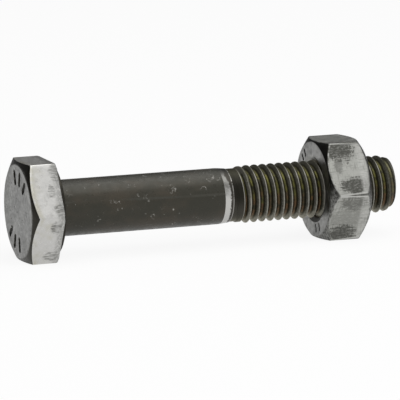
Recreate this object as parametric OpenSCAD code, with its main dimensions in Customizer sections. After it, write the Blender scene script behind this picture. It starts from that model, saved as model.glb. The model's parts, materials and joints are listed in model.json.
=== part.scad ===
// Hexagon bolt with a plain shank and a rolled thread, lying on its flats, with its nut run part way up.
// X runs along the bolt from the face that the head clamps with, and Z is up. Millimetres.

/* [Wrench] */
// Width across the flats of the head and of the nut, which take the same wrench
wrench_flats = 16.9; // [16:0.1:19]

/* [Head] */
// Height of the hexagon, without the washer face
head_height = 5.5; // [4:0.1:8]
// Diameter of the round end face inside the chamfer
head_face_d = 15.8; // [13:0.1:16.5]
// Slope of the chamfer around the end face
head_chamfer_angle = 27; // [15:1:40]
// Diameter where the rounding of the clamping-side corners starts
head_rim_d = 19; // [17:0.1:19.4]
// Slope of that rounding
head_rim_angle = 34; // [15:1:45]
// Diameter of the raised washer face
washer_face_d = 15.6; // [13:0.1:16.5]
// Height of the raised washer face
washer_face_height = 0.6; // [0.3:0.05:0.9]
// Radius where the shank meets the head
neck_fillet = 0.6; // [0.3:0.05:0.9]

/* [Shank] */
// Length from the clamping face to the point
bolt_length = 60.7; // [54:0.1:80]
// Diameter of the plain shank
shank_d = 9.6; // [9.2:0.05:10]
// Length of the plain shank
shank_length = 29.4; // [24:0.1:34]
// Length of the step down from the shank to the thread
step_length = 2; // [1.8:0.05:2.6]

/* [Thread] */
// Diameter over the crests
thread_d = 9.87; // [9.7:0.01:10]
// Distance from one crest to the next
pitch = 1.5; // [1.25:0.05:1.75]
// Width left flat on the crests
crest_flat = 0.19; // [0.1:0.01:0.3]
// Depth from crest to root
thread_depth = 0.85; // [0.6:0.01:0.95]
// Angle between the two flanks
flank_angle = 60; // [50:1:60]
// Diameter of the blank that the thread is rolled into
blank_d = 9.2; // [8.9:0.05:9.3]
// Turns over which the thread rises to its full height
runout_turns = 1.5; // [0.5:0.25:2]
// Turn of the thread's start around the axis
thread_turn = 137; // [0:1:359]
// Diameter of the flat end of the point
point_d = 8.9; // [7.6:0.1:9.4]
// Slope of the chamfer on the point
point_angle = 74; // [30:1:78]
// Flats around one turn of the thread
thread_facets = 30; // [18:2:36]

/* [Nut] */
// Height of the nut
nut_height = 7.8; // [6:0.1:10]
// Diameter of the round face on the head side, inside its chamfer
nut_face_d = 16.4; // [14:0.1:16.6]
// Slope of that chamfer
nut_face_angle = 38; // [15:1:45]
// Diameter of the round face on the point side, inside its chamfer
nut_back_d = 15.8; // [14:0.1:16.6]
// Slope of that chamfer
nut_back_angle = 37; // [15:1:45]
// Diameter of the countersunk mouths of the hole
nut_mouth_d = 11.6; // [10.3:0.1:12]
// Slope of the countersinks
nut_mouth_angle = 30; // [25:1:60]
// Distance from the head's clamping face to the nut's
grip = 47.1; // [36:0.1:50]

/* [Fits] */
// Gap between the crests of the bolt and the wall of the nut's hole
thread_gap = 0.1; // [0.05:0.01:0.2]

/* [Hidden] */
$fa = 3;
$fs = 0.2;
// how far a cutting body runs past what it cuts
over = 1;
// sides of the head and the nut
sides = 6;
corner_turn = 180 / sides;
corner_r = wrench_flats / 2 / cos(corner_turn);
hexagon_from = -washer_face_height - head_height;
crest_r = thread_d / 2;
root_r = crest_r - thread_depth;
blank_r = blank_d / 2;
flank = thread_depth * tan(flank_angle / 2);
root_flat = pitch - crest_flat - 2 * flank;
// the step stops just under the blank, so the thread comes out of it
step_end_r = blank_r - thread_gap;
thread_from = shank_length + thread_gap;
nut_hole_d = thread_d + 2 * thread_gap;
// one pitch of the thread form as distance along the axis and radius
form = [
    [0, root_r],
    [root_flat, root_r],
    [root_flat + flank, crest_r],
    [root_flat + flank + crest_flat, crest_r]
];
ribs = len(form);
steps = ceil((bolt_length + pitch / 2 - thread_from) / pitch * thread_facets);

// Share of the full thread height that is reached at a step along the helix
function rise(step) = max(0, min(1, (step / thread_facets - 1) / runout_turns));

// A point of the thread: which step along the helix and which rib of the form
function thread_point(step, rib) =
    let (r = blank_r + rise(step) * (form[rib][1] - blank_r))
    let (turn = step * 360 / thread_facets)
    [r * cos(turn), r * sin(turn), thread_from + form[rib][0] + pitch * step / thread_facets];

// Place of that point in the list, the rib after the last being the first one a turn on
function at(step, rib) =
    rib == ribs ? at(step + thread_facets, 0) :
    step <= steps ? step * ribs + rib :
    (steps + 1) * ribs + step - steps - 1;

// The threaded end, run past the point so that it can be cut to length
module raw_thread() {
    first_hub = at(steps + thread_facets, 0) + 1;
    last_hub = first_hub + 1;
    skin = [for (i = [0 : steps]) for (k = [0 : ribs - 1]) thread_point(i, k)];
    tail = [for (i = [1 : thread_facets]) thread_point(steps + i, 0)];
    hubs = [
        [0, 0, thread_from + pitch / 2],
        [0, 0, thread_from + pitch * (steps / thread_facets + 1 / 2)]
    ];
    sheet_a = [for (i = [0 : steps - 1]) for (k = [0 : ribs - 1]) [at(i, k), at(i, k + 1), at(i + 1, k)]];
    sheet_b = [for (i = [0 : steps - 1]) for (k = [0 : ribs - 1]) [at(i + 1, k), at(i, k + 1), at(i + 1, k + 1)]];
    first_ramp = [for (i = [0 : thread_facets - 1]) [first_hub, at(i, 0), at(i + 1, 0)]];
    first_wall = [for (k = [0 : ribs - 1]) [first_hub, at(0, k + 1), at(0, k)]];
    last_ramp = [for (i = [0 : thread_facets - 1]) [last_hub, at(steps + i + 1, 0), at(steps + i, 0)]];
    last_wall = [for (k = [0 : ribs - 1]) [last_hub, at(steps, k), at(steps, k + 1)]];
    polyhedron(
        concat(skin, tail, hubs),
        concat(sheet_a, sheet_b, first_ramp, first_wall, last_ramp, last_wall)
    );
}

// Room around the point that is cut away from the thread: its chamfer and what runs past it
module past_the_point() {
    outer_r = crest_r + over;
    reach = (outer_r - point_d / 2) * tan(point_angle);
    far = bolt_length + 3 * pitch;
    rotate_extrude()
        polygon([
            [0, bolt_length],
            [point_d / 2, bolt_length],
            [outer_r, bolt_length - reach],
            [outer_r, far],
            [0, far]
        ]);
}

module thread() {
    rotate([0, 0, thread_turn])
        difference() {
            raw_thread();
            past_the_point();
        }
}

// Round envelope that chamfers both ends of a hexagon lying between two heights
module chamfered(from, to, from_d, from_angle, to_d, to_angle) {
    outer_r = corner_r + over;
    rotate_extrude()
        polygon([
            [0, from],
            [from_d / 2, from],
            [outer_r, from + (outer_r - from_d / 2) * tan(from_angle)],
            [outer_r, to - (outer_r - to_d / 2) * tan(to_angle)],
            [to_d / 2, to],
            [0, to]
        ]);
}

module hexagon(from, to) {
    translate([0, 0, from])
        rotate([0, 0, corner_turn])
            cylinder(r = corner_r, h = to - from, $fn = sides);
}

module head() {
    intersection() {
        hexagon(hexagon_from, -washer_face_height);
        chamfered(hexagon_from, -washer_face_height, head_face_d, head_chamfer_angle,
            head_rim_d, head_rim_angle);
    }
    translate([0, 0, hexagon_from + head_height / 2])
        cylinder(d = washer_face_d, h = head_height / 2 + washer_face_height);
}

module fillet() {
    rotate_extrude()
        difference() {
            translate([0, -washer_face_height / 2])
                square([shank_d / 2 + neck_fillet, washer_face_height / 2 + neck_fillet]);
            translate([shank_d / 2 + neck_fillet, neck_fillet])
                circle(r = neck_fillet);
        }
}

module shank() {
    translate([0, 0, -washer_face_height])
        cylinder(d = shank_d, h = washer_face_height + shank_length);
    translate([0, 0, shank_length])
        cylinder(r1 = shank_d / 2, r2 = step_end_r, h = step_length);
}

module bolt() {
    color("silver")
        rotate([0, 90, 0]) {
            head();
            fillet();
            shank();
            thread();
        }
}

module nut() {
    mouth_depth = (nut_mouth_d - nut_hole_d) / 2 * tan(nut_mouth_angle);
    mouth_wide = nut_mouth_d / 2 + over;
    mouth_reach = (mouth_wide - nut_hole_d / 2) * tan(nut_mouth_angle);
    color("silver")
        translate([grip, 0, 0])
            rotate([0, 90, 0])
                difference() {
                    intersection() {
                        hexagon(0, nut_height);
                        chamfered(0, nut_height, nut_face_d, nut_face_angle,
                            nut_back_d, nut_back_angle);
                    }
                    translate([0, 0, -over])
                        cylinder(d = nut_hole_d, h = nut_height + 2 * over);
                    translate([0, 0, mouth_depth - mouth_reach])
                        cylinder(r1 = mouth_wide, d2 = nut_hole_d, h = mouth_reach);
                    translate([0, 0, nut_height - mouth_depth])
                        cylinder(d1 = nut_hole_d, r2 = mouth_wide, h = mouth_reach);
                }
}

bolt();
nut();
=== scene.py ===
import json
import math

import bmesh
import bpy
from mathutils import Matrix, Vector, noise


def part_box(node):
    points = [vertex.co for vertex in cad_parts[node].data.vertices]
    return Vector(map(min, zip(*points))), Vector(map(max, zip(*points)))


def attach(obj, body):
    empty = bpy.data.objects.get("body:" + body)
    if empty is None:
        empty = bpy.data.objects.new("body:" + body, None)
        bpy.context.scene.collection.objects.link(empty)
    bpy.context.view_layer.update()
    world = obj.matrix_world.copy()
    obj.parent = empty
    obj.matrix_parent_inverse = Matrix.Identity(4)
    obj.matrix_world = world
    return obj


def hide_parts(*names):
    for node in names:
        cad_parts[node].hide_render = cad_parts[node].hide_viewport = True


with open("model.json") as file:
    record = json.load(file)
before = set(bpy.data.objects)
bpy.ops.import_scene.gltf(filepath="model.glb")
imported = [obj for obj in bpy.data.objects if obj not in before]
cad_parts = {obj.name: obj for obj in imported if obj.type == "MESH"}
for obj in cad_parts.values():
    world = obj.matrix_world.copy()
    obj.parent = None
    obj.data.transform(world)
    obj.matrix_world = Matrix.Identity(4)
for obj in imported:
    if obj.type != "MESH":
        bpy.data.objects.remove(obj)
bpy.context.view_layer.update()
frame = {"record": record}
scene = bpy.context.scene
mm = 0.001
fullTurn = 2 * math.pi
sixth = fullTurn / 6                # from one corner of a hexagon to the next

# sizes that the frame already knows
boltLow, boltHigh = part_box("bolt")
nutLow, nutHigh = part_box("nut")
mounts = {m["name"]: m for m in frame["record"]["mounts"]}
halfFlats = boltHigh.z
shankRadius = mounts["shank"]["dims"]["r_mm"] * mm
floorHeight = boltLow.z
print("frame loaded, flats", round(2 * halfFlats / mm, 2), "mm apart")

threadForm = {
    "pitch": 1.5 * mm,
    "from": 29.5 * mm,              # where the helix starts, inside the step
    "startTurn": math.radians(137),
    "blankRadius": 4.6 * mm,
    "neckSink": 0.1 * mm,           # the rolled neck lies deeper on the side towards the viewer
    "runoutFrom": 1.12,             # turns before the first groove
    "runoutTurns": 1.3,
    "crestRadius": 4.935 * mm,
    "rootRadius": 4.085 * mm,
    "crestAt": 0.916 * mm,          # first crest, from the start of the helix
    "stepsPerTurn": 96,
    # half of the rolled form: distance from the crest in mm, share of the height left
    "half": [(0.0, 1.0), (0.05, 0.988), (0.09, 0.95), (0.14, 0.865), (0.26, 0.635),
             (0.38, 0.40), (0.49, 0.19), (0.57, 0.075), (0.65, 0.02), (0.75, 0.0)],
}


def cornerArc(rounding):
    # middle of a rounded corner's arc from the axis, and the angle from the corner to the arc's end
    centre = (halfFlats - rounding) / math.cos(sixth / 2)
    return centre, sixth / 2 - math.atan2(centre / 2, halfFlats)


def fromCornerTurn(turn):
    # angle from the nearest corner of the hexagon
    return (turn + sixth / 2) % sixth - sixth / 2


def hexRadius(turn, rounding):
    # distance from the axis to a hexagon with flats up and down and slightly rounded corners
    off = fromCornerTurn(turn)
    centre, tangent = cornerArc(rounding)
    if abs(off) >= tangent:
        return halfFlats / math.cos(sixth / 2 - abs(off))
    return centre * math.cos(off) + math.sqrt(rounding ** 2 - (centre * math.sin(off)) ** 2)


def hexTurns(rounding, perFlat=16, perCorner=6):
    # angles around the axis, closer together at the corners
    tangent = cornerArc(rounding)[1]
    turns = []
    for side in range(6):
        corner = side * sixth
        for i in range(perCorner):
            turns.append(corner - tangent + 2 * tangent * i / perCorner)
        for i in range(perFlat):
            turns.append(corner + tangent + (sixth - 2 * tangent) * i / perFlat)
    return turns


def addRing(bm, turns, place):
    # one ring of points around the bolt, place(turn) gives distance along and from the axis
    ring = []
    for turn in turns:
        along, away = place(turn)
        ring.append(bm.verts.new((along, away * math.cos(turn), away * math.sin(turn))))
    return ring


def roundRing(bm, turns, along, away):
    return addRing(bm, turns, lambda turn: (along, away))


def skinRings(bm, rings):
    for one, two in zip(rings, rings[1:]):
        for i in range(len(one)):
            j = (i + 1) % len(one)
            bm.faces.new((one[i], one[j], two[j], two[i]))


def capFan(bm, edges, centre):
    hub = bm.verts.new(centre)
    for edge in edges:
        bm.faces.new((edge.verts[0], edge.verts[1], hub))


def ringEdges(bm, ring):
    return [bm.edges.get((ring[i], ring[(i + 1) % len(ring)])) for i in range(len(ring))]


def distinct(items):
    # each of them once and in the order they come, so that every run gives the same mesh
    return list(dict.fromkeys(items))


def edgePoints(edges):
    return distinct(v for e in edges for v in e.verts)


def turnOf(point):
    return math.atan2(point.z, point.y)


def awayFrom(point):
    return math.hypot(point.y, point.z)


def stitch(bm, one, two):
    # joins two open rings that each go once around the axis, whatever their counts
    one = sorted(one, key=lambda v: turnOf(v.co))
    two = sorted(two, key=lambda v: turnOf(v.co))

    def ahead(ring, i):
        laps, place = divmod(i + 1, len(ring))
        return turnOf(ring[place].co) + fullTurn * laps

    i = j = 0
    while i < len(one) or j < len(two):
        here, there = one[i % len(one)], two[j % len(two)]
        if j == len(two) or (i < len(one) and ahead(one, i) <= ahead(two, j)):
            i += 1
            bm.faces.new((here, one[i % len(one)], there))
        else:
            j += 1
            bm.faces.new((here, two[j % len(two)], there))


pressing = {
    "around": 288,                  # points around a marked end face
    "spacing": 0.15 * mm,           # and between its rings
    "ragged": 0.1 * mm,             # how far the edge of a mark strays
    "raggedScale": 2.2,
    "fade": 0.6 * mm,               # width over which the finish changes at that edge
}


def markEdge(away, turn, ticks):
    # distance in from the edge of the nearest pressed tick, with a slightly ragged edge
    best = -halfFlats
    for tick in ticks:
        off = turn - math.radians(tick["turn"])
        out, across = away * math.cos(off), away * math.sin(off)
        past = max(tick["from"] * mm - out, 0.0, out - tick["to"] * mm)
        spot = Vector((out, across, tick["turn"])) / mm * pressing["raggedScale"]
        ragged = noise.noise(spot) * pressing["ragged"]
        best = max(best, tick["half"] * mm + ragged - math.hypot(past, across))
    return best


def markedFace(bm, along, inner, outer, marks):
    # a flat end face in rings close enough to press its marks into it, returns its two open rings
    turns = [fullTurn * i / pressing["around"] for i in range(pressing["around"])]
    count = round((outer - inner) / pressing["spacing"])
    rings = []
    for i in range(count + 1):
        away = inner + (outer - inner) * i / count

        def pressedIn(turn):
            share = markEdge(away, turn, marks["ticks"]) / marks["slope"]
            return along + marks["depth"] * min(1, max(0, share)), away

        rings.append(addRing(bm, turns, pressedIn))
    skinRings(bm, rings)
    return rings[0], rings[-1]


def pressedAt(point, marks):
    # 0 outside a mark, one half at its edge, 1 well inside
    inside = markEdge(awayFrom(point), turnOf(point), marks["ticks"])
    return min(1, max(0, 0.5 + inside / pressing["fade"]))


def threadSheet(bm, first, last, radiusAt):
    # a helical sheet that is cut square at both ends, returns the two open loops of edges
    pitch, steps = threadForm["pitch"], threadForm["stepsPerTurn"]
    half = threadForm["half"]
    spare = 2 * pitch               # how far it runs past the cuts
    form = [(-d * mm, h) for d, h in reversed(half)] + [(d * mm, h) for d, h in half[1:-1]]
    start = math.floor((first - spare - threadForm["from"]) / pitch) * steps
    count = math.ceil((last - first + 2 * spare) / pitch) * steps
    columns = []
    for i in range(start, start + count + 1):
        turn = threadForm["startTurn"] + fullTurn * i / steps
        column = []
        for offset, height in form:
            along = threadForm["from"] + threadForm["crestAt"] + offset + pitch * i / steps
            away = radiusAt(along, height, i / steps, turn)
            # the helix turns from the underside towards the back, as a right-hand thread does
            column.append(bm.verts.new((along, away * math.sin(turn), -away * math.cos(turn))))
        columns.append(column)
    sheet = []
    for i in range(count):
        one, two = columns[i], columns[i + 1]
        for k in range(len(form) - 1):
            sheet.append(bm.faces.new((one[k], two[k], two[k + 1], one[k + 1])))
        if i + 1 + steps <= count:
            next1, next2 = columns[i + steps][0], columns[i + 1 + steps][0]
            sheet.append(bm.faces.new((one[-1], two[-1], next2, next1)))
    ends = []
    for along, side in ((first, -1), (last, 1)):
        touched = [f for f in sheet if f.is_valid]
        edges = distinct(e for f in touched for e in f.edges)
        cut = bmesh.ops.bisect_plane(
            bm, geom=edgePoints(edges) + edges + touched, dist=1e-8, plane_co=(along, 0, 0),
            plane_no=(side, 0, 0), clear_outer=True)
        sheet = [g for g in cut["geom"] if isinstance(g, bmesh.types.BMFace)]
        ends.append([g for g in cut["geom_cut"] if isinstance(g, bmesh.types.BMEdge)])
    loose = [v for column in columns for v in column if v.is_valid and not v.link_faces]
    bmesh.ops.delete(bm, geom=loose, context="VERTS")
    return [[e for e in end if e.is_valid and len(e.link_faces) == 1] for end in ends]


def addObject(name, data):
    made = bpy.data.objects.new(name, data)
    scene.collection.objects.link(made)
    return made


def finishMesh(bm, name, materials, slotOf, fields):
    # closes the mesh into an object with its slots and painted fields
    bmesh.ops.remove_doubles(bm, verts=bm.verts, dist=1e-7)
    bmesh.ops.recalc_face_normals(bm, faces=bm.faces)
    for face in bm.faces:
        face.smooth = True
        face.material_index = slotOf(face.calc_center_median())
    mesh = bpy.data.meshes.new(name)
    bm.to_mesh(mesh)
    bm.free()
    mesh.set_sharp_from_angle(angle=math.radians(38))
    for field, value in fields.items():
        layer = mesh.attributes.new(field, "FLOAT", "POINT")
        layer.data.foreach_set("value", [value(v.co) for v in mesh.vertices])
    for material in materials:
        mesh.materials.append(material)
    return addObject(name, mesh)


def emptyTree(owner):
    owner.use_nodes = True
    owner.node_tree.nodes.clear()
    return owner.node_tree.nodes, owner.node_tree.links


# a small kit for wiring finishes, with places in mm
class Wiring:
    def __init__(self, name):
        self.material = bpy.data.materials.new(name)
        self.nodes, self.links = emptyTree(self.material)
        output = self.nodes.new("ShaderNodeOutputMaterial")
        self.shader = self.nodes.new("ShaderNodeBsdfPrincipled")
        self.links.new(self.shader.outputs["BSDF"], output.inputs["Surface"])
        place = self.nodes.new("ShaderNodeTexCoord")
        self.inMm = self.vector("SCALE", place.outputs["Object"], scale=1 / mm)
        split = self.nodes.new("ShaderNodeSeparateXYZ")
        self.links.new(self.inMm, split.inputs[0])
        self.x, self.y, self.z = split.outputs

    def put(self, socket, value):
        if isinstance(value, bpy.types.NodeSocket):
            self.links.new(value, socket)
        else:
            socket.default_value = value

    def vector(self, operation, one, two=None, scale=None):
        node = self.nodes.new("ShaderNodeVectorMath")
        node.operation = operation
        self.put(node.inputs[0], one)
        if two is not None:
            self.put(node.inputs[1], two)
        if scale is not None:
            self.put(node.inputs["Scale"], scale)
        return node.outputs["Value" if operation == "LENGTH" else "Vector"]

    def math(self, operation, one, two=None):
        node = self.nodes.new("ShaderNodeMath")
        node.operation = operation
        self.put(node.inputs[0], one)
        if two is not None:
            self.put(node.inputs[1], two)
        return node.outputs[0]

    def times(self, one, two):
        return self.math("MULTIPLY", one, two)

    def plus(self, one, two):
        return self.math("ADD", one, two)

    def minus(self, one, two):
        return self.math("SUBTRACT", one, two)

    def most(self, one, two):
        return self.math("MAXIMUM", one, two)

    def unsigned(self, value):
        return self.math("ABSOLUTE", value)

    def fromAxis(self):
        return self.vector("LENGTH", self.vector("MULTIPLY", self.inMm, (0, 1, 1)))

    def facing(self):
        # how far the surface faces along the bolt, from the head end at -1 to the point end at 1
        shape = self.nodes.new("ShaderNodeNewGeometry")
        split = self.nodes.new("ShaderNodeSeparateXYZ")
        self.put(split.inputs[0], shape.outputs["Normal"])
        return split.outputs[0]

    def ramp(self, value, low, high, to0=0.0, to1=1.0):
        # a soft step from low to high
        node = self.nodes.new("ShaderNodeMapRange")
        node.interpolation_type = "SMOOTHSTEP"
        for socket, number in zip(node.inputs[:5], (value, low, high, to0, to1)):
            self.put(socket, number)
        return node.outputs[0]

    def field(self, name):
        node = self.nodes.new("ShaderNodeAttribute")
        node.attribute_name = name
        return node.outputs["Fac"]

    def grain(self, scale, detail, rough, stretch=(1, 1, 1), shift=(0, 0, 0), eased=None):
        # a noise pattern, with a soft step over it where eased gives its limits
        place = self.vector("MULTIPLY_ADD", self.inMm, stretch)
        self.put(place.node.inputs[2], shift)
        node = self.nodes.new("ShaderNodeTexNoise")
        self.put(node.inputs["Vector"], place)
        node.inputs["Scale"].default_value = scale
        node.inputs["Detail"].default_value = detail
        node.inputs["Roughness"].default_value = rough
        pattern = node.outputs["Fac"]
        return self.ramp(pattern, *eased) if eased else pattern

    def nicks(self, scale, size, share, warp=0.6):
        # sparse small marks: a few cells of a cell pattern, at their middles
        bend = self.nodes.new("ShaderNodeTexNoise")
        self.put(bend.inputs["Vector"], self.inMm)
        bend.inputs["Scale"].default_value = scale * 0.9
        push = self.vector("SUBTRACT", bend.outputs["Color"], (0.5, 0.5, 0.5))
        push = self.vector("SCALE", push, scale=warp)
        cells = self.nodes.new("ShaderNodeTexVoronoi")
        self.put(cells.inputs["Vector"], self.vector("ADD", self.inMm, push))
        cells.inputs["Scale"].default_value = scale
        inside = self.ramp(cells.outputs["Distance"], size, size * 0.4)
        pick = self.nodes.new("ShaderNodeSeparateColor")
        self.put(pick.inputs[0], cells.outputs["Color"])
        return self.times(inside, self.math("LESS_THAN", pick.outputs[0], share))

    def blend(self, amount, one, two):
        node = self.nodes.new("ShaderNodeMix")
        node.data_type = "RGBA"
        self.put(node.inputs["Factor"], amount)
        for socket, value in zip((node.inputs[6], node.inputs[7]), (one, two)):
            self.put(socket, value if isinstance(value, bpy.types.NodeSocket) else (*value, 1.0))
        return node.outputs[2]

    def spots(self, places, front, ragged):
        # ragged places on the flats: distance behind an end face, turn of the flat, place across it,
        # size along and across, strength
        flat, found = halfFlats / mm, 0.0
        for behind, turn, across, size, strength in places:
            outward = math.radians(turn)
            middle = (front + behind, flat * math.cos(outward) - across * math.sin(outward),
                      flat * math.sin(outward) + across * math.cos(outward))
            near = self.vector("SUBTRACT", self.inMm, middle)
            near = self.vector("DIVIDE", near, (size[0], size[1], size[1]))
            reach = self.plus(self.vector("LENGTH", near), ragged)
            found = self.most(found, self.ramp(reach, 1.2, 0.75, 0, strength))
        return found

    def bump(self, height, depth, under=None):
        # depth is the real height of the relief
        node = self.nodes.new("ShaderNodeBump")
        node.inputs["Strength"].default_value = 1.0
        node.inputs["Distance"].default_value = depth
        self.put(node.inputs["Height"], height)
        if under is not None:
            self.put(node.inputs["Normal"], under)
        return node.outputs[0]

    def finish(self, colour, roughness, metallic, normal, specular=0.5):
        self.put(self.shader.inputs["Base Color"], colour)
        self.put(self.shader.inputs["Roughness"], roughness)
        self.put(self.shader.inputs["Normal"], normal)
        self.shader.inputs["Metallic"].default_value = metallic
        self.shader.inputs["Specular IOR Level"].default_value = specular
        return self.material


headFinish = {
    "bare": (0.585, 0.58, 0.562),
    "warm": (0.50, 0.485, 0.42),
    "smudge": (0.34, 0.34, 0.325),
    "scratch": (0.15, 0.148, 0.138),
    "endFace": (0.155, 0.155, 0.149),
    "endFaceLight": (0.25, 0.25, 0.24),
    "endFaceShade": (0.135, 0.135, 0.128),
    "burrAndHighlight": (0.36, 0.36, 0.345),
    "chamfer": (0.036, 0.034, 0.028),
    "pit": (0.02, 0.02, 0.018),
    "pitDepth": 0.15 * mm,
    "waveDepth": 0.03 * mm,
    "fineDepth": 0.006 * mm,
    "clouds": dict(scale=0.3, detail=4, rough=0.6, eased=(0.5, 0.75, 0, 0.7)),
    "warmEdge": dict(scale=0.45, detail=3, rough=0.6, shift=(1, 5, 2), eased=(0.42, 0.6, 0, 0.85)),
    "stains": dict(scale=0.7, detail=5, rough=0.65, stretch=(1.6, 1, 1), shift=(3, 7, 1),
                   eased=(0.56, 0.72, 0, 0.45)),
    "mottle": dict(scale=1.7, detail=5, rough=0.7, stretch=(1.8, 1, 1), eased=(0.34, 0.56, 0, 0.9)),
    "ragged": dict(scale=0.9, detail=4, rough=0.65, shift=(8, 1, 4)),
    "dashes": dict(scale=1.0, detail=1.5, rough=0.5, stretch=(0.9, 7.5, 7.5), shift=(9, 15, 21),
                   eased=(0.44, 0.58, 0, 0.85)),
    "dull": dict(scale=0.22, detail=5, rough=0.65, shift=(0, 4, 9), eased=(0.36, 0.66)),
    "pits": dict(scale=0.7, size=0.26, share=0.4),
    "smallPits": dict(scale=1.5, size=0.3, share=0.22),
    "burrs": dict(scale=1.1, detail=3, rough=0.6, shift=(5, 5, 5), eased=(0.44, 0.58, 0, 0.8)),
    "waves": dict(scale=0.8, detail=3, rough=0.5, shift=(11, 2, 5)),
    "fine": dict(scale=6, detail=4, rough=0.6),
    "roughness": dict(scale=1.6, detail=4, rough=0.6, shift=(2, 9, 4), eased=(0.3, 0.7, 0.27, 0.43)),
    # smudges of short dashes on the flats
    "smudges": [
        (3.7, 150, -0.1, (0.6, 1.2), 0.9), (4.8, 150, -3.4, (1.0, 1.7), 0.7),
        (4.6, 150, 3.6, (1.1, 1.1), 0.9), (4.0, 210, -2.7, (1.0, 1.3), 0.9),
        (3.9, 210, 3.3, (1.3, 1.0), 0.8), (2.7, 30, 1.0, (1.0, 1.7), 0.7),
        (4.5, 330, -2.0, (1.0, 1.8), 0.8), (3.0, 330, 3.0, (1.4, 1.0), 0.7),
        (3.2, 270, 2.5, (1.2, 1.4), 0.8)],
}

headMarks = {
    # short ticks pressed into the end face above and below its middle
    "ticks": [{"turn": turn, "from": 4.9, "to": 6.5, "half": 0.52}
              for turn in (78, 104, 130, 264, 290, 316)],
    "depth": 0.3 * mm,
    "slope": 0.26 * mm,
    "reach": 0.5 * mm,              # how far behind the end face a mark still counts
}


def makeHeadSteel():
    w = Wiring("headSteel")
    look = headFinish
    end, under = boltLow.x / mm, -boltShape["washerHeight"] / mm
    lengthwise, rim = w.facing(), w.field("rimNear")
    # flats: bare steel, warmer in clouds and by the chamfer, hatched with scratches towards the rim
    colour = w.blend(w.grain(**look["clouds"]), look["bare"], look["warm"])
    warmEdge = w.times(w.ramp(w.field("chamferNear"), 0.2, 0.8), w.grain(**look["warmEdge"]))
    colour = w.blend(warmEdge, colour, look["warm"])
    colour = w.blend(w.grain(**look["stains"]), colour, look["smudge"])
    mottle = w.times(w.ramp(rim, 0.1, 0.8), w.grain(**look["mottle"]))
    colour = w.blend(mottle, colour, look["smudge"])
    ragged = w.times(w.minus(w.grain(**look["ragged"]), 0.5), 3.0)
    smudged = w.spots(look["smudges"], end, w.times(ragged, 0.5))
    smudged = w.most(smudged, w.ramp(w.plus(ragged, rim), 0.9, 1.5, 0, 0.6))
    colour = w.blend(w.times(smudged, 0.3), colour, look["smudge"])
    colour = w.blend(w.times(w.grain(**look["dashes"]), smudged), colour, look["scratch"])
    # chamfer and end face keep more of the dark scale
    endFace = w.ramp(lengthwise, -0.94, -0.985)
    chamfer = w.times(w.ramp(lengthwise, -0.55, -0.75), w.minus(1.0, endFace))
    colour = w.blend(chamfer, colour, look["chamfer"])
    dull = w.blend(w.grain(**look["dull"]), look["endFace"], look["endFaceLight"])
    pits = w.most(w.nicks(**look["pits"]), w.nicks(**look["smallPits"]))
    dull = w.blend(w.times(pits, 0.8), dull, look["pit"])
    # painted shade: the end face is darker towards its far side (+Y)
    dull = w.blend(w.ramp(w.y, 1.0, 8.0), dull, look["endFaceShade"])
    # marks: painted dark inside as their shade, with a light burr along parts of their edges that also
    # stands in for their highlight
    pressed = w.field("pressed")
    burrAndHighlight = w.times(w.ramp(pressed, 0.2, 0.45), w.grain(**look["burrs"]))
    dull = w.blend(burrAndHighlight, dull, look["burrAndHighlight"])
    colour = w.blend(endFace, colour, dull)
    reach = end + headMarks["reach"] / mm
    markShade = w.times(w.ramp(pressed, 0.5, 0.66, 0, 0.9), w.ramp(w.x, reach, reach - 0.1))
    colour = w.blend(markShade, colour, look["pit"])
    # the washer face under the head is painted dark as the shade under the head
    colour = w.blend(w.ramp(w.x, under - 0.06, under), colour, look["chamfer"])
    normal = w.bump(w.grain(**look["waves"]), look["waveDepth"])
    normal = w.bump(w.grain(**look["fine"]), look["fineDepth"], normal)
    normal = w.bump(w.times(pits, endFace), -look["pitDepth"], normal)
    return w.finish(colour, w.grain(**look["roughness"]), 1.0, normal)


shankFinish = {
    "dark": (0.020, 0.0195, 0.0145),
    "brown": (0.034, 0.028, 0.020),
    "gleam": (1.0, 0.97, 0.86),
    "nick": (0.42, 0.41, 0.385),
    "glintColour": (0.034, 0.033, 0.027),
    "glintTo": 28.0,                  # mm along the shank over which the painted reflection line drops
    "glintHeights": (1.6, 1.1),       # mm above the axis, from and to
    "specular": 0.4,
    "fineDepth": 0.008 * mm,
    "clouds": dict(scale=0.22, detail=4, rough=0.6, stretch=(0.6, 1, 1)),
    "glintLine": dict(scale=0.16, detail=3, rough=0.6, stretch=(0.7, 1, 1), shift=(2, 8, 5),
                   eased=(0.4, 0.55)),
    "scratches": dict(scale=0.9, detail=2, rough=0.5, shift=(3, 3, 3)),
    "scratched": dict(scale=0.5, detail=3, rough=0.6, shift=(7, 2, 9), eased=(0.58, 0.66, 0, 0.75)),
    "nicks": dict(scale=0.8, size=0.13, share=0.09, warp=1.2),
    "smallNicks": dict(scale=1.9, size=0.15, share=0.05, warp=0.8),
    "fine": dict(scale=2.2, detail=4, rough=0.6, stretch=(0.35, 1, 1)),
    "roughness": dict(scale=0.9, detail=4, rough=0.6, shift=(4, 1, 8), eased=(0.3, 0.7, 0.24, 0.42)),
}


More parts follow.
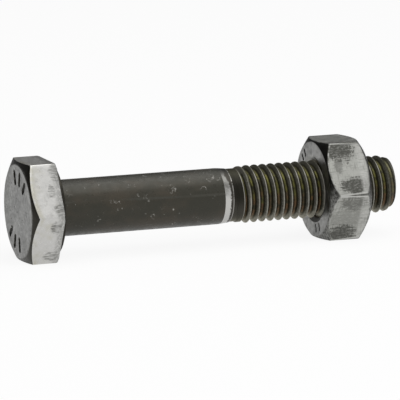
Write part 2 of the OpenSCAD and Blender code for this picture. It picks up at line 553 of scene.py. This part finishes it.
def makeDarkShank():
    w = Wiring("darkShank")
    look = shankFinish
    # brown clouds, and browner and lighter towards the bottom: partly brown tone, partly painted light
    # from the floor below
    cloudsAndUnderLight = w.plus(w.grain(**look["clouds"]), w.ramp(w.z, 1.0, -4.5, 0, 0.14))
    colour = w.blend(w.ramp(cloudsAndUnderLight, 0.46, 0.7), look["dark"], look["brown"])
    # a faint painted reflection line along it, short scratches in patches, and single nicks
    beside = w.unsigned(w.minus(w.z, w.ramp(w.x, 0, look["glintTo"], *look["glintHeights"])))
    glintLine = w.times(w.ramp(beside, 0.28, 0.08), w.grain(**look["glintLine"]))
    colour = w.blend(glintLine, colour, look["glintColour"])
    line = w.unsigned(w.minus(w.grain(**look["scratches"]), 0.5))
    marks = w.times(w.ramp(line, 0.014, 0.004), w.grain(**look["scratched"]))
    marks = w.most(marks, w.nicks(**look["nicks"]))
    marks = w.most(marks, w.nicks(**look["smallNicks"]))
    colour = w.blend(w.times(marks, 0.8), colour, look["nick"])
    normal = w.bump(w.grain(**look["fine"]), look["fineDepth"])
    w.shader.inputs["Specular Tint"].default_value = (*look["gleam"], 1)
    return w.finish(colour, w.grain(**look["roughness"]), 0.0, normal, look["specular"])


stepFinish = {
    "bare": (0.53, 0.525, 0.505),
    "dull": (0.20, 0.198, 0.185),
    "dark": (0.05, 0.047, 0.04),
    "lip": (0.34, 0.33, 0.31),
    "roughness": 0.33,
    "fineDepth": 0.008 * mm,
    "patches": dict(scale=1.5, detail=5, rough=0.7),
    "ragged": dict(scale=1.2, detail=4, rough=0.7, shift=(4, 4, 1)),
    "raggedFine": dict(scale=4.5, detail=3, rough=0.7),
    "fine": dict(scale=5, detail=3, rough=0.6),
}


def makeBareStep():
    w = Wiring("bareStep")
    look = stepFinish
    lip = boltShape["stepEnd"] / mm
    patchy = w.grain(**look["patches"])
    # painted light and shade: bright below, duller towards the top and dark at the very top
    colour = w.blend(w.ramp(w.plus(w.z, w.times(patchy, 5.0)), 2.8, 5.6), look["bare"], look["dull"])
    colour = w.blend(w.ramp(w.z, 3.7, 4.4, 0, 0.75), colour, look["dark"])
    # towards the thread it ends in a ragged dark edge and a thin bare lip
    ragged = w.times(w.grain(**look["ragged"]), 0.8)
    ragged = w.plus(ragged, w.times(w.grain(**look["raggedFine"]), 0.7))
    ragged = w.plus(ragged, w.ramp(w.z, 1.5, 4.2, 0, 0.45))
    colour = w.blend(w.ramp(w.plus(w.x, ragged), lip + 0.1, lip + 0.35), colour, look["dark"])
    lipHere = w.times(w.ramp(w.x, lip - 0.2, lip - 0.08), w.ramp(patchy, 0.35, 0.5))
    colour = w.blend(lipHere, colour, look["lip"])
    normal = w.bump(w.grain(**look["fine"]), look["fineDepth"])
    return w.finish(colour, look["roughness"], 1.0, normal)


threadFinish = {
    "crest": (0.31, 0.30, 0.265),
    "litFlank": (0.205, 0.2, 0.172),  # the flanks that face the head are painted lit, and those that face the point painted in shade
    "shadedFlank": (0.045, 0.043, 0.03),
    "oilAndGleam": (0.105, 0.1, 0.03),
    "rust": (0.105, 0.062, 0.032),
    "root": (0.035, 0.033, 0.02),
    "neck": (0.014, 0.0135, 0.0105),
    "neckLow": (0.045, 0.043, 0.036),
    "neckTo": 40.0,                 # mm along the bolt, past the first ridges and short of the nut
    "cutEnd": (0.17, 0.168, 0.155),
    "cutEndDark": (0.085, 0.083, 0.073),
    "gleam": (1.0, 0.96, 0.82),
    "roughness": 0.34,
    "metallic": 0.65,
    "specular": 0.25,
    "fineDepth": 0.005 * mm,
    "rustEdge": dict(scale=0.8, detail=3, rough=0.6),
    "oily": dict(scale=0.7, detail=4, rough=0.6, shift=(9, 3, 3), eased=(0.36, 0.58)),
    "wear": dict(scale=1.8, detail=4, rough=0.65, shift=(2, 2, 6), eased=(0.4, 0.62)),
    "cutClouds": dict(scale=0.8, detail=4, rough=0.65),
    "fine": dict(scale=5, detail=4, rough=0.6),
}


def makeThreadSteel():
    w = Wiring("threadSteel")
    look = threadFinish
    lengthwise, away = w.facing(), w.fromAxis()
    height = w.field("threadHeight")          # 0 at the root, 1 at the crest
    # oil at the bottom of the grooves, painted lighter as its gleam, yellow higher up and reddish lower
    # down
    lower = w.ramp(w.plus(w.z, w.times(w.grain(**look["rustEdge"]), 9.0)), 5.4, 3.4)
    filmAndGleam = w.blend(lower, look["oilAndGleam"], look["rust"])
    filmAndGleam = w.blend(w.grain(**look["oily"]), look["root"], filmAndGleam)
    filmAndGleam = w.blend(w.ramp(height, 0.08, 0.24), filmAndGleam, look["root"])
    # painted light and shade: flanks facing the head lit, flanks facing the point shaded
    flank = w.blend(w.ramp(lengthwise, -0.3, 0.25), look["litFlank"], look["shadedFlank"])
    worn = w.grain(**look["wear"])
    flank = w.blend(w.times(worn, 0.4), flank, look["root"])
    colour = w.blend(w.ramp(height, 0.26, 0.6), filmAndGleam, flank)
    # painted highlight along the crests
    crest = w.times(w.ramp(height, 0.94, 0.99), w.ramp(worn, 2.4, 0.0))
    colour = w.blend(crest, colour, look["crest"])
    # lighter at the tip
    tip = boltHigh.x / mm
    colour = w.blend(w.ramp(w.x, tip - 1.8, tip - 0.6, 0, 0.25), colour, look["litFlank"])
    # the neck and the flat tops of the first ridges stay dark, with painted highlights along their
    # edges
    rolled, nearNeck = w.field("rolled"), w.ramp(w.x, look["neckTo"], look["neckTo"] - 1)
    neck = w.blend(w.ramp(w.z, 0.5, -2.5), look["neck"], look["neckLow"])
    colour = w.blend(w.times(w.ramp(rolled, 0.7, 0.3), nearNeck), colour, neck)
    edge = w.times(w.ramp(rolled, 0.3, 0.5), w.ramp(rolled, 0.98, 0.75))
    colour = w.blend(w.times(edge, nearNeck), colour, look["crest"])
    # painted shade: the thread is darker towards its top
    colour = w.blend(w.ramp(w.z, 3.0, 4.7, 0, 0.62), colour, look["root"])
    # the nut's mouth is bare, and so is the cut end of the point but for its middle
    outside = nutShape["rootRadius"] / mm
    colour = w.blend(w.ramp(away, outside - 0.01, outside + 0.03), colour, nutFinish["mouth"])
    middle = w.plus(away, w.times(w.grain(**look["cutClouds"]), 4.0))
    cut = w.blend(w.ramp(middle, 3.6, 5.2), look["cutEndDark"], look["cutEnd"])
    atEnd = w.times(w.ramp(lengthwise, 0.9, 0.97), w.ramp(w.x, tip - 0.1, tip - 0.05))
    colour = w.blend(atEnd, colour, cut)
    normal = w.bump(w.grain(**look["fine"]), look["fineDepth"])
    w.shader.inputs["Specular Tint"].default_value = (*look["gleam"], 1)
    return w.finish(colour, look["roughness"], look["metallic"], normal, look["specular"])


nutFinish = {
    "bare": (0.43, 0.432, 0.402),
    "scale": (0.078, 0.078, 0.069),
    "edge": (0.54, 0.54, 0.515),
    "face": (0.165, 0.165, 0.158),
    "faceLight": (0.27, 0.27, 0.26),
    "chamfer": (0.020, 0.0195, 0.017),
    "chamferWorn": (0.25, 0.25, 0.236),
    "chamferRoughness": 0.6,
    "mouth": (0.24, 0.24, 0.225),
    "pit": (0.02, 0.02, 0.018),
    "waveDepth": 0.035 * mm,
    "fineDepth": 0.008 * mm,
    "stripeDepth": 0.01 * mm,
    "stripes": dict(scale=1.0, detail=3, rough=0.55, stretch=(0.5, 5, 5)),
    "combing": dict(scale=1.0, detail=2, rough=0.5, stretch=(5, 0.8, 0.8)),
    "blotches": dict(scale=0.9, detail=6, rough=0.7, shift=(6, 3, 2)),
    "thinned": dict(scale=2.6, detail=4, rough=0.7, stretch=(0.7, 1.3, 1.3), eased=(0.3, 0.56, 0.6, 1)),
    "speckle": dict(scale=2.4, detail=5, rough=0.7, shift=(1, 6, 3), eased=(0.62, 0.42, 0.25, 1)),
    "dull": dict(scale=0.35, detail=5, rough=0.65, shift=(0, 4, 9), eased=(0.38, 0.62)),
    "waves": dict(scale=0.9, detail=4, rough=0.6),
    "fine": dict(scale=6, detail=4, rough=0.6),
    "roughness": dict(scale=1.4, detail=4, rough=0.6, shift=(2, 9, 4), eased=(0.3, 0.7, 0.29, 0.47)),
    # where the flats keep their dark scale
    "patches": [
        (2.7, 150, -3.5, (3.0, 1.8), 1.0), (2.0, 150, -0.9, (0.8, 1.7), 0.6),
        (4.3, 150, 3.2, (2.5, 1.6), 1.0), (4.6, 210, -3.2, (3.2, 1.7), 0.8),
        (4.2, 210, 0.0, (4.4, 2.6), 0.5), (2.8, 210, 3.3, (2.9, 1.9), 1.0),
        (4.6, 30, 1.5, (2.9, 3.0), 0.9), (2.6, 30, -3.4, (2.4, 1.6), 0.8),
        (3.0, 330, -2.0, (3.2, 2.2), 1.0), (5.0, 330, 3.2, (2.4, 1.6), 0.8),
        (3.9, 270, 2.2, (2.8, 2.8), 0.9)],
}

nutMarks = {
    "ticks": [{"turn": turn, "from": 6.3, "to": 7.3, "half": 0.24} for turn in (46, 58, 247, 261)],
    "depth": 0.16 * mm,
    "slope": 0.16 * mm,
    "reach": 0.3 * mm,
}


def makeNutSteel():
    w = Wiring("nutSteel")
    look = nutFinish
    front, mouth = nutLow.x / mm, nutShape["mouthRadius"] / mm
    slant = w.unsigned(w.facing())
    fromChamfer, fromCorner = w.field("fromChamfer"), w.field("fromCorner")      # mm along a flat
    # flats: bare steel with dark scale left in patches, drawn out in fine stripes
    stripes, combed = w.grain(**look["stripes"]), w.grain(**look["combing"])
    blotchy = w.grain(**look["blotches"])
    uneven = w.plus(w.times(stripes, 0.4), w.plus(w.times(combed, 0.25), w.times(blotchy, 0.35)))
    ragged = w.times(w.minus(uneven, 0.5), 4.0)
    dark = w.times(w.spots(look["patches"], front, ragged), w.grain(**look["thinned"]))
    fine = w.most(w.ramp(stripes, 0.5, 0.68, 0, 0.4), w.ramp(combed, 0.52, 0.68, 0, 0.28))
    colour = w.blend(w.most(w.times(dark, 0.95), fine), look["bare"], look["scale"])
    # worn bright along the back strip, at the chamfers and on both sides of each corner
    strip = w.ramp(w.plus(w.x, w.times(ragged, 0.5)), front + 5.3, front + 5.9, 0, 0.75)
    rims = w.times(w.ramp(fromChamfer, 0.3, 0.08), w.ramp(blotchy, 0.6, 0.42, 0, 0.9))
    spread = w.ramp(w.x, front + 1.0, front + 7.5, 0.12, 0.42)
    beside = w.ramp(w.unsigned(w.minus(fromCorner, spread)), 0.2, 0.06)
    between = w.ramp(w.minus(spread, fromCorner), 0.08, 0.24, 0, 0.8)
    colour = w.blend(w.times(strip, w.ramp(ragged, 0.5, -0.4)), colour, look["edge"])
    colour = w.blend(between, colour, look["scale"])
    colour = w.blend(w.times(w.most(rims, beside), 0.8), colour, look["edge"])
    # painted shade: the two upper corners and parts of the edges at the chamfers are painted darker,
    # toning down their highlights
    upperCornerShade = w.times(w.ramp(fromCorner, 0.6, 0.4), w.ramp(w.z, 7.0, 7.8, 0, 0.52))
    colour = w.blend(upperCornerShade, colour, look["scale"])
    arris = w.times(w.ramp(slant, 0.08, 0.25), w.ramp(blotchy, 0.42, 0.56, 0.35, 0.85))
    colour = w.blend(arris, colour, look["scale"])
    # chamfers: dark above, worn and speckled below, bare in the mouths of the hole
    endFace = w.ramp(slant, 0.94, 0.985)
    chamfer = w.times(w.ramp(slant, 0.5, 0.68), w.minus(1.0, endFace))
    worn = w.ramp(w.plus(w.z, w.times(ragged, 2.2)), 2.6, -1.2)
    sloped = w.blend(w.times(worn, w.grain(**look["speckle"])), look["chamfer"], look["chamferWorn"])
    sloped = w.blend(w.ramp(w.fromAxis(), mouth + 0.3, mouth + 0.2), sloped, look["mouth"])
    colour = w.blend(chamfer, colour, sloped)
    dull = w.blend(w.grain(**look["dull"]), look["face"], look["faceLight"])
    colour = w.blend(endFace, colour, dull)
    # painted shade: the pressed marks are painted dark inside
    colour = w.blend(w.ramp(w.field("pressed"), 0.5, 0.66, 0, 0.85), colour, look["pit"])
    normal = w.bump(w.grain(**look["waves"]), look["waveDepth"])
    normal = w.bump(w.grain(**look["fine"]), look["fineDepth"], normal)
    normal = w.bump(stripes, look["stripeDepth"], normal)
    wornRoughness = w.times(w.times(chamfer, worn), look["chamferRoughness"])
    roughness = w.most(w.grain(**look["roughness"]), wornRoughness)
    return w.finish(colour, roughness, 1.0, normal)


boltShape = {
    "cornerRounding": 0.25 * mm,
    "hub": 0.5 * mm,                # radius of the middle that closes the end face
    "faceRadius": 7.9 * mm,
    "faceSlope": math.tan(math.radians(27)),
    "arris": 0.1 * mm,
    "faceDrop": 0.12,               # shares of the arris: at the edge of the end face
    "arrisForm": [(1.0, 0.0), (0.35, 0.1), (0.0, 0.6)],     # and in and down at the flats
    "rimRadius": 9.5 * mm,
    "rimSlope": math.tan(math.radians(34)),
    "rimRounding": 0.28 * mm,
    "washerRadius": 7.8 * mm,
    "washerHeight": 0.6 * mm,
    "soft": 0.08 * mm,              # broken edge of the washer face
    "fillet": 0.6 * mm,
    "shankEnd": 29.4 * mm,
    "stepEnd": 31.0 * mm,
    "stepRadius": 4.64 * mm,
    "lip": 0.06 * mm,               # from the end of the step to the first of the thread
    "pointRadius": 4.45 * mm,
    "pointSlope": math.tan(math.radians(90 - 74)),
    "wearReach": 1.5 * mm,          # how far the wear at rim and chamfer runs along a flat
    "flatEdge": 0.08 * mm,          # the flat tops of the first ridges end this far inside their edges
    "flatFade": 0.3 * mm,
    "flatUntil": 0.55,              # share of the rise from which the tops begin to count as rolled
    "flatGone": 0.3,
}


def neckRadius(turn):
    return threadForm["blankRadius"] - threadForm["neckSink"] * (0.5 - 0.5 * math.sin(turn))


def rolledShare(turns):
    return min(1, max(0, (turns - threadForm["runoutFrom"]) / threadForm["runoutTurns"]))


def flatHalf(share):
    # half the width of the flat top that a partly rolled ridge still has
    half = threadForm["half"]
    for (near, above), (far, below) in zip(half, half[1:]):
        if above >= share >= below:
            return (near + (far - near) * (above - share) / (above - below)) * mm


def boltThreadRadius(along, height, turns, turn):
    # where the thread starts the grooves are shallow and the ridges between them still wide and flat
    form, shape = threadForm, boltShape
    share, neck = rolledShare(turns), neckRadius(turn)
    groove = form["rootRadius"] + (1 - share) * (neck - form["rootRadius"])
    groove += height * (form["crestRadius"] - form["rootRadius"])
    away = min(groove, neck + share * (form["crestRadius"] - neck))
    point = shape["pointRadius"] + (boltHigh.x - along) * shape["pointSlope"]
    return max(form["rootRadius"] / 2, min(away, point))


def makeBolt():
    bm = bmesh.new()
    shape = boltShape
    turns = hexTurns(shape["cornerRounding"])
    end, under = boltLow.x, -shape["washerHeight"]
    edge, lip, soft, fillet = shape["arris"], shape["rimRounding"], shape["soft"], shape["fillet"]
    arrisDrop = shape["arrisForm"][-1][1] * edge

    def hexAt(turn):
        return hexRadius(turn, shape["cornerRounding"])

    def chamferAt(away):
        return end + max(0, away - shape["faceRadius"]) * shape["faceSlope"]

    def rimAt(turn):
        return under - max(0, hexAt(turn) - shape["rimRadius"]) * shape["rimSlope"]

    # end face, chamfer, flats and the rounded rim of the head
    hub, marked = markedFace(bm, end, shape["hub"], shape["faceRadius"] - 2 * edge, headMarks)
    capFan(bm, ringEdges(bm, hub), (end, 0, 0))
    rings = [roundRing(bm, turns, end, shape["faceRadius"] - edge)]
    rings.append(roundRing(bm, turns, end + edge * shape["faceDrop"], shape["faceRadius"]))
    for inset, down in shape["arrisForm"]:
        def onArris(turn):
            away = hexAt(turn) - inset * edge
            return chamferAt(away) + down * edge, away
        rings.append(addRing(bm, turns, onArris))
    for share in [i / 12 for i in range(1, 13)]:
        def onSide(turn):
            top, bottom = chamferAt(hexAt(turn)) + arrisDrop, rimAt(turn) - lip
            return top + (bottom - top) * share, hexAt(turn)
        rings.append(addRing(bm, turns, onSide))
    for bend in [math.radians(15 * i) for i in range(1, 7)]:
        def onRim(turn):
            return rimAt(turn) - lip * (1 - math.sin(bend)), hexAt(turn) - lip * (1 - math.cos(bend))
        rings.append(addRing(bm, turns, onRim))
    # washer face, fillet, shank and step
    washer, third = shape["washerRadius"], soft * 0.3
    for along, away in ((under, washer), (-soft, washer), (-third, washer - third), (0, washer - soft)):
        rings.append(roundRing(bm, turns, along, away))
    for bend in [math.radians(18 * i) for i in range(0, 6)]:
        away = shankRadius + fillet * (1 - math.sin(bend))
        rings.append(roundRing(bm, turns, fillet * (1 - math.cos(bend)), away))
    plain = shape["shankEnd"] - soft - fillet
    for share in [i / 12 for i in range(1, 13)]:
        rings.append(roundRing(bm, turns, fillet + plain * share, shankRadius))
    rings.append(roundRing(bm, turns, shape["shankEnd"], shankRadius - soft * 0.2))
    for share in (0.25, 0.5, 0.75, 1.0):
        along = shape["shankEnd"] + (shape["stepEnd"] - shape["shankEnd"]) * share
        away = shankRadius + (shape["stepRadius"] - shankRadius) * share
        rings.append(roundRing(bm, turns, along, away))
    skinRings(bm, rings)
    stitch(bm, marked, rings[0])
    # thread
    inner, outer = threadSheet(bm, shape["stepEnd"] + shape["lip"], boltHigh.x, boltThreadRadius)
    stitch(bm, rings[-1], edgePoints(inner))
    capFan(bm, outer, (boltHigh.x, 0, 0))

    def slotOf(middle):
        # head, shank, step or thread
        borders = (0, shape["shankEnd"] - 0.01 * mm, shape["stepEnd"])
        return sum(middle.x >= border for border in borders)

    def threadHeight(point):
        root, crest = threadForm["rootRadius"], threadForm["crestRadius"]
        return (awayFrom(point) - root) / (crest - root)

    def rimNear(point):
        past = max(0.0, rimAt(turnOf(point)) - lip - point.x)
        return max(0.0, 1 - past / shape["wearReach"]) if point.x < 0 else 0.0

    def chamferNear(point):
        past = max(0.0, point.x - chamferAt(hexAt(turnOf(point))))
        return max(0.0, 1 - past / shape["wearReach"])

    def pressed(point):
        return pressedAt(point, headMarks) if point.x < end + headMarks["reach"] else 0.0

    def rolled(point):
        # 0 on the plain neck and the flat tops of the first ridges, 1 from their edges on
        form = threadForm
        turn = (math.atan2(point.y, -point.z) - form["startTurn"]) / fullTurn % 1
        ridges = (point.x - form["from"] - form["crestAt"]) / form["pitch"] - turn
        share = rolledShare(round(ridges) + turn)
        if share == 0:
            return 0.0
        past = (ridges - round(ridges)) * form["pitch"] - flatHalf(share) + shape["flatEdge"]
        sharp = (share - shape["flatUntil"]) / shape["flatGone"]
        return min(1, max(0, 0.5 + past / shape["flatFade"], sharp))

    finishes = [makeHeadSteel(), makeDarkShank(), makeBareStep(), makeThreadSteel()]
    bolt = finishMesh(bm, "hexBolt", finishes, slotOf, {
        "threadHeight": threadHeight, "rimNear": rimNear, "chamferNear": chamferNear,
        "pressed": pressed, "rolled": rolled})
    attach(bolt, "bolt")
    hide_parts("bolt")
    print("bolt made,", len(bolt.data.polygons), "faces")


nutShape = {
    "cornerRounding": 0.35 * mm,
    "faceRadius": 8.2 * mm,
    "faceSlope": math.tan(math.radians(38)),
    "backRadius": 7.9 * mm,
    "backSlope": math.tan(math.radians(37)),
    "arris": 0.14 * mm,
    "faceDrop": 0.15,               # shares of the arris: at the edge of an end face
    "arrisForm": [(1.0, 0.0), (0.35, 0.12), (0.0, 0.7)],    # and in and down at the flats
    "mouthRadius": 5.8 * mm,
    "mouthEdge": 0.08 * mm,
    "mouthSlope": math.tan(math.radians(90 - 30)),
    "crestRadius": 4.27 * mm,
    "rootRadius": 5.03 * mm,
    "threadGap": 0.08 * mm,
}


def nutThreadRadius(along, height, turns, turn):
    # the bolt's own form a gap further out, widened to the countersinks at both mouths
    form, shape = threadForm, nutShape
    bolt = form["rootRadius"] + height * (form["crestRadius"] - form["rootRadius"])
    away = min(shape["rootRadius"], max(shape["crestRadius"], bolt + shape["threadGap"]))
    inside = min(along - nutLow.x, nutHigh.x - along)
    return max(away, shape["mouthRadius"] - inside * shape["mouthSlope"])


def makeNut():
    bm = bmesh.new()
    shape = nutShape
    turns = hexTurns(shape["cornerRounding"])
    edge, mouth = shape["arris"], shape["mouthRadius"] + shape["mouthEdge"]
    arrisDrop = shape["arrisForm"][-1][1] * edge

    def hexAt(turn):
        return hexRadius(turn, shape["cornerRounding"])

    def frontAt(away):
        return nutLow.x + max(0, away - shape["faceRadius"]) * shape["faceSlope"]

    def backAt(away):
        return nutHigh.x - max(0, away - shape["backRadius"]) * shape["backSlope"]

    # front face and chamfer, flats, back chamfer and face
    rim, marked = markedFace(bm, nutLow.x, mouth, shape["faceRadius"] - 2 * edge, nutMarks)
    rings = [roundRing(bm, turns, nutLow.x, shape["faceRadius"] - edge)]
    rings.append(roundRing(bm, turns, nutLow.x + edge * shape["faceDrop"], shape["faceRadius"]))
    for inset, down in shape["arrisForm"]:
        def onFront(turn):
            away = hexAt(turn) - inset * edge
            return frontAt(away) + down * edge, away
        rings.append(addRing(bm, turns, onFront))
    for share in [i / 14 for i in range(1, 14)]:
        def onSide(turn):
            top, bottom = frontAt(hexAt(turn)) + arrisDrop, backAt(hexAt(turn)) - arrisDrop
            return top + (bottom - top) * share, hexAt(turn)
        rings.append(addRing(bm, turns, onSide))
    for inset, down in reversed(shape["arrisForm"]):
        def onBack(turn):
            away = hexAt(turn) - inset * edge
            return backAt(away) - down * edge, away
        rings.append(addRing(bm, turns, onBack))
    rings.append(roundRing(bm, turns, nutHigh.x - edge * shape["faceDrop"], shape["backRadius"]))
    for share in (1, 0.5, 0):
        away = mouth + (shape["backRadius"] - edge - mouth) * share
        rings.append(roundRing(bm, turns, nutHigh.x, away))
    skinRings(bm, rings)
    stitch(bm, marked, rings[0])
    # thread inside
    inner, outer = threadSheet(bm, nutLow.x, nutHigh.x, nutThreadRadius)
    stitch(bm, rim, edgePoints(inner))
    stitch(bm, rings[-1], edgePoints(outer))

    def slotOf(middle):
        # outside or thread
        return 1 if awayFrom(middle) < shape["rootRadius"] + 0.02 * mm else 0

    def fromChamfer(point):
        away = awayFrom(point)
        return max(0.0, min(point.x - frontAt(away), backAt(away) - point.x)) / mm

    def fromCorner(point):
        off = abs(fromCornerTurn(turnOf(point)))
        return halfFlats * (math.tan(sixth / 2) - math.tan(sixth / 2 - off)) / mm

    def pressed(point):
        return pressedAt(point, nutMarks) if point.x < nutLow.x + nutMarks["reach"] else 0.0

    def threadHeight(point):
        return (shape["rootRadius"] - awayFrom(point)) / (shape["rootRadius"] - shape["crestRadius"])

    finishes = [makeNutSteel(), bpy.data.materials["threadSteel"]]
    nut = finishMesh(bm, "hexNut", finishes, slotOf, {
        "fromChamfer": fromChamfer, "fromCorner": fromCorner, "pressed": pressed,
        "threadHeight": threadHeight})
    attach(nut, "nut")
    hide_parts("nut")
    print("nut made,", len(nut.data.polygons), "faces")


makeBolt()
makeNut()

stageLook = {
    "floor": (0.86, 0.86, 0.86),
    "floorSize": 8,
    "floorLift": 0.9,               # how much of the floor shows as plain white to the camera
    "floorGleam": 0.7,              # and in the metal
    "worldLight": 0.45,
    "card": 0.13,
    "cardRadius": 0.45,
    "cardHeight": 0.36,
    "cardFrom": 5,                  # degrees from +X towards the back
    "cardSpan": 200,
    "cardSteps": 24,
    "lampAim": (0.027, 0, 0),       # about the middle of the bolt
    "lamps": [
        {"name": "topSoftbox", "place": (0.05, -0.06, 0.7), "size": (0.9, 0.66), "power": 2.8,
         "inMetal": True},
        {"name": "frontSoftbox", "place": (0.35, -0.55, 0.45), "size": (0.5, 0.4), "power": 2.6,
         "inMetal": False}],
}


def makeFloor():
    look = stageLook
    bpy.ops.mesh.primitive_plane_add(size=look["floorSize"], location=(0, 0, floorHeight))
    floor = bpy.context.object
    floor.name = "floor"
    material = bpy.data.materials.new("paleFloor")
    nodes, links = emptyTree(material)
    output = nodes.new("ShaderNodeOutputMaterial")
    matte = nodes.new("ShaderNodeBsdfDiffuse")
    matte.inputs["Color"].default_value = (*look["floor"], 1)
    white = nodes.new("ShaderNodeEmission")
    path = nodes.new("ShaderNodeLightPath")
    gleam = nodes.new("ShaderNodeMath")
    gleam.operation = "MULTIPLY"
    gleam.inputs[1].default_value = look["floorGleam"]
    lift = nodes.new("ShaderNodeMath")
    lift.operation = "MULTIPLY_ADD"
    lift.inputs[1].default_value = look["floorLift"]
    mix = nodes.new("ShaderNodeMixShader")
    links.new(path.outputs["Is Glossy Ray"], gleam.inputs[0])
    links.new(path.outputs["Is Camera Ray"], lift.inputs[0])
    links.new(gleam.outputs[0], lift.inputs[2])
    links.new(lift.outputs[0], mix.inputs[0])
    links.new(matte.outputs[0], mix.inputs[1])
    links.new(white.outputs[0], mix.inputs[2])
    links.new(mix.outputs[0], output.inputs[0])
    floor.data.materials.append(material)


def makeWorld():
    # white where it is seen, straight or in the metal, and dimmer as light
    world = bpy.data.worlds.new("studio")
    scene.world = world
    nodes, links = emptyTree(world)
    output = nodes.new("ShaderNodeOutputWorld")
    sky = nodes.new("ShaderNodeBackground")
    path = nodes.new("ShaderNodeLightPath")
    seen = path.outputs["Is Camera Ray"]
    for other in ("Is Glossy Ray", "Is Transmission Ray"):
        both = nodes.new("ShaderNodeMath")
        both.operation = "MAXIMUM"
        links.new(seen, both.inputs[0])
        links.new(path.outputs[other], both.inputs[1])
        seen = both.outputs[0]
    strength = nodes.new("ShaderNodeMapRange")
    links.new(seen, strength.inputs[0])
    strength.inputs["To Min"].default_value = stageLook["worldLight"]
    strength.inputs["To Max"].default_value = 1.0
    links.new(strength.outputs[0], sky.inputs["Strength"])
    links.new(sky.outputs[0], output.inputs[0])


def makeCard():
    # a grey curved card behind that only shows in the metal
    look = stageLook
    bm = bmesh.new()
    rows = []
    for i in range(look["cardSteps"] + 1):
        turn = math.radians(look["cardFrom"] + look["cardSpan"] * i / look["cardSteps"])
        x, y = look["cardRadius"] * math.cos(turn), look["cardRadius"] * math.sin(turn)
        foot = bm.verts.new((x, y, floorHeight))
        head = bm.verts.new((x, y, floorHeight + look["cardHeight"]))
        rows.append((foot, head))
    for one, two in zip(rows, rows[1:]):
        bm.faces.new((one[0], two[0], two[1], one[1]))
    mesh = bpy.data.meshes.new("card")
    bm.to_mesh(mesh)
    bm.free()
    card = addObject("card", mesh)
    material = bpy.data.materials.new("greyCard")
    nodes, links = emptyTree(material)
    output = nodes.new("ShaderNodeOutputMaterial")
    glow = nodes.new("ShaderNodeEmission")
    glow.inputs["Strength"].default_value = look["card"]
    links.new(glow.outputs[0], output.inputs[0])
    mesh.materials.append(material)
    card.visible_camera = False
    card.visible_diffuse = False
    card.visible_shadow = False


def makeLamps():
    aim = Vector(stageLook["lampAim"])
    for plan in stageLook["lamps"]:
        lamp = bpy.data.lights.new(plan["name"], "AREA")
        lamp.shape = "RECTANGLE"
        lamp.size, lamp.size_y = plan["size"]
        lamp.energy = plan["power"]
        made = addObject(plan["name"], lamp)
        made.location = plan["place"]
        made.rotation_mode = "QUATERNION"
        made.rotation_quaternion = (aim - Vector(plan["place"])).to_track_quat("-Z", "Y")
        made.visible_glossy = plan["inMetal"]


makeFloor()
makeWorld()
makeCard()
makeLamps()
print("stage and lamps set")

cameraView = {
    "place": (-208.844 * mm, -670.582 * mm, 118.302 * mm),
    "yaw": math.radians(19.333),
    "pitch": math.radians(9.487),
    "roll": math.radians(-1.075),
    "lens": 379.93,
    "sensor": 36.0,
    "clip": (0.01, 20),
}


def makeCamera():
    look = cameraView
    yaw, pitch, roll = look["yaw"], look["pitch"], look["roll"]
    ahead = Vector((math.sin(yaw) * math.cos(pitch), math.cos(yaw) * math.cos(pitch), -math.sin(pitch)))
    level = Vector((math.cos(yaw), -math.sin(yaw), 0))
    upright = level.cross(ahead)
    right = level * math.cos(roll) + upright * math.sin(roll)
    up = upright * math.cos(roll) - level * math.sin(roll)
    data = bpy.data.cameras.new("camera")
    data.lens, data.sensor_width = look["lens"], look["sensor"]
    data.clip_start, data.clip_end = look["clip"]
    camera = addObject("camera", data)
    turned = Matrix((right, up, -ahead)).transposed().to_4x4()
    camera.matrix_world = Matrix.Translation(look["place"]) @ turned
    scene.camera = camera


makeCamera()
scene.view_settings.view_transform = "Standard"
print("camera set")
